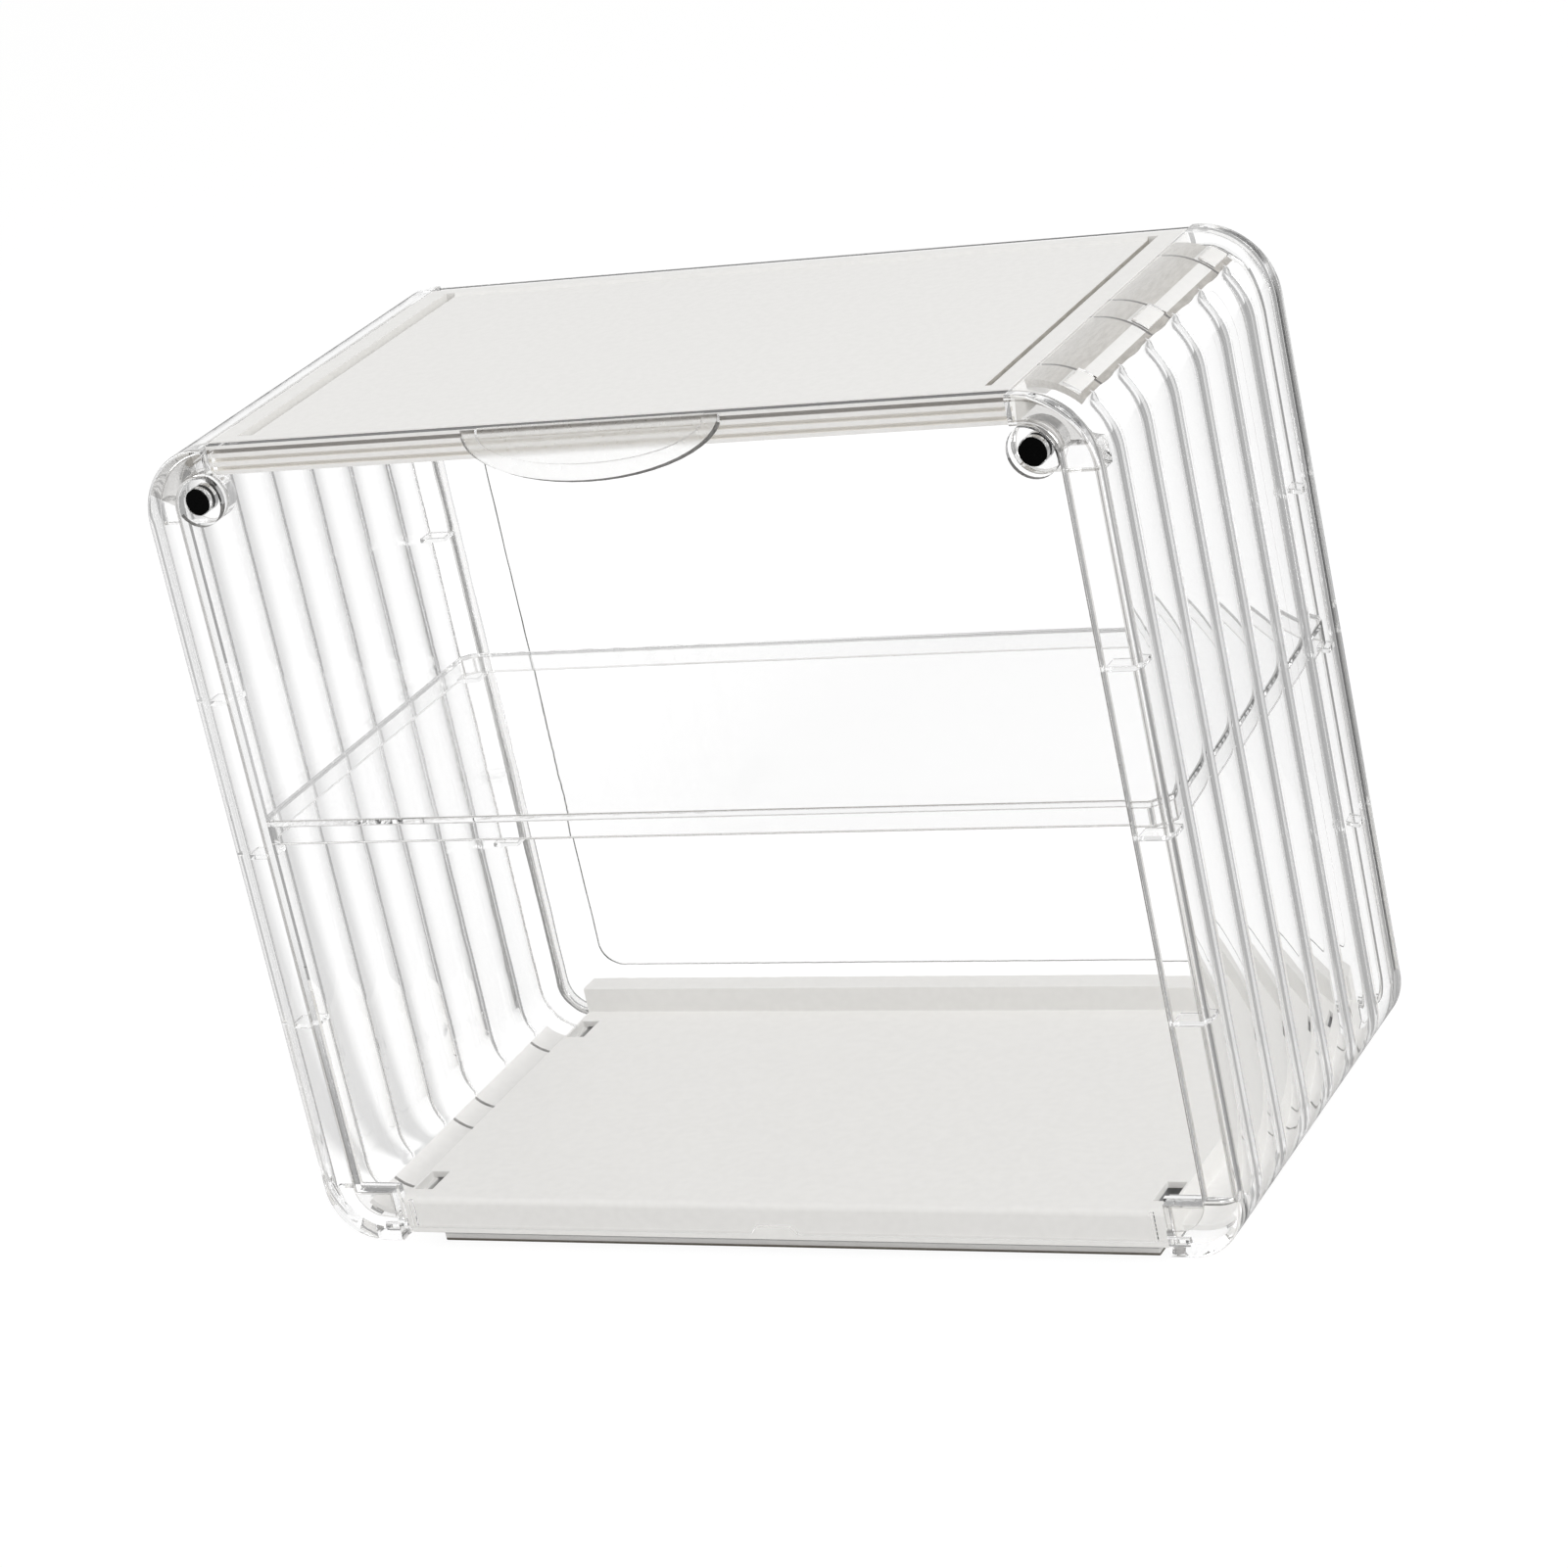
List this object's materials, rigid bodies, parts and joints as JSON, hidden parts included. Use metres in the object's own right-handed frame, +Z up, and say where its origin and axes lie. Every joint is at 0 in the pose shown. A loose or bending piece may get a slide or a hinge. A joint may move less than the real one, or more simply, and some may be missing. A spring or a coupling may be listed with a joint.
{
  "type": "acrylic display case",
  "caption": "Clear snap-together display case with fluted sides, a loose shelf, an off-white top and base, and a drop-front door with a half-moon pull held shut by magnets.",
  "frame": {"origin": "middle of the footprint, pull included, at the level of the table", "axes": "+X to the right seen from the front, +Y to the back, +Z up"},
  "size_m": [0.31, 0.1604, 0.271],
  "materials": {
    "white_plastic": "satin off-white moulding",
    "clear_plastic": "clear polished acrylic",
    "black_magnet": "black coated"
  },
  "bodies": {
    "case": {"base_panel": "white_plastic", "top_panel": "white_plastic", "left_side_panel": "clear_plastic", "right_side_panel": "clear_plastic", "back_panel": "clear_plastic", "left_frame_magnet": "black_magnet", "right_frame_magnet": "black_magnet"},
    "door": {"front_door": "clear_plastic", "left_door_magnet": "black_magnet", "right_door_magnet": "black_magnet"},
    "shelf": {"shelf": "clear_plastic"}
  },
  "joints": [
    {"name": "door_hinge", "type": "hinge", "parent": "case", "child": "door", "pos_m": [0, -0.06955, 0.0096], "axis": [1, 0, 0], "range_deg": [0, 88]},
    {"name": "shelf_lift", "type": "slide", "parent": "case", "child": "shelf", "axis": [0, 0, 1], "range_m": [0, 0.038]}
  ]
}
